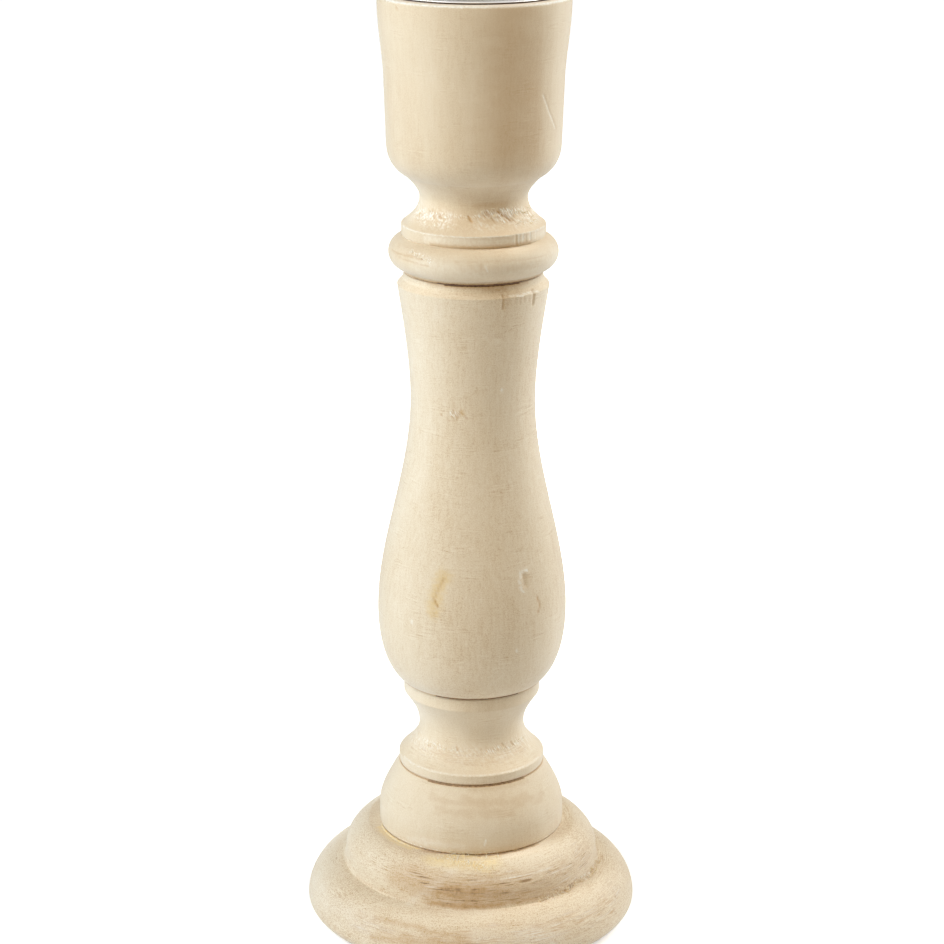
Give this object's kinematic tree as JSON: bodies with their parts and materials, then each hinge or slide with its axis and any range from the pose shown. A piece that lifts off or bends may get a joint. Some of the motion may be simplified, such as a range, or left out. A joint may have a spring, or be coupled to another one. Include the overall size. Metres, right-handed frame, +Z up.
{
  "type": "candle holder",
  "caption": "Turned wooden candle holder with a stepped round base, domed pedestal, baluster stem, beaded neck and a cup lined with a lift-out metal insert for a tea light.",
  "frame": {"origin": "centre of the flat underside of the base", "axes": "+Z up along the turning axis, from the base to the cup; X and Y are free, because the part is turned"},
  "size_m": [0.0898, 0.0898, 0.2506],
  "materials": {
    "spindle_wood": "raw, turned and lightly sanded",
    "base_wood": "raw, turned, with brown figure",
    "dowel_wood": "fluted, glued in",
    "insert_sheet": "drawn and bright"
  },
  "bodies": {
    "stand": {"base": "base_wood", "pedestal_dome": "spindle_wood", "cove_collar": "spindle_wood", "baluster": "spindle_wood", "candle_cup": "spindle_wood", "lower_dowel": "dowel_wood", "upper_dowel": "dowel_wood"},
    "insert": {"metal_insert": "insert_sheet"}
  },
  "joints": [
    {"name": "insert_lift", "type": "slide", "parent": "stand", "child": "insert", "axis": [0, 0, 1], "range_m": [0, 0.018]}
  ]
}
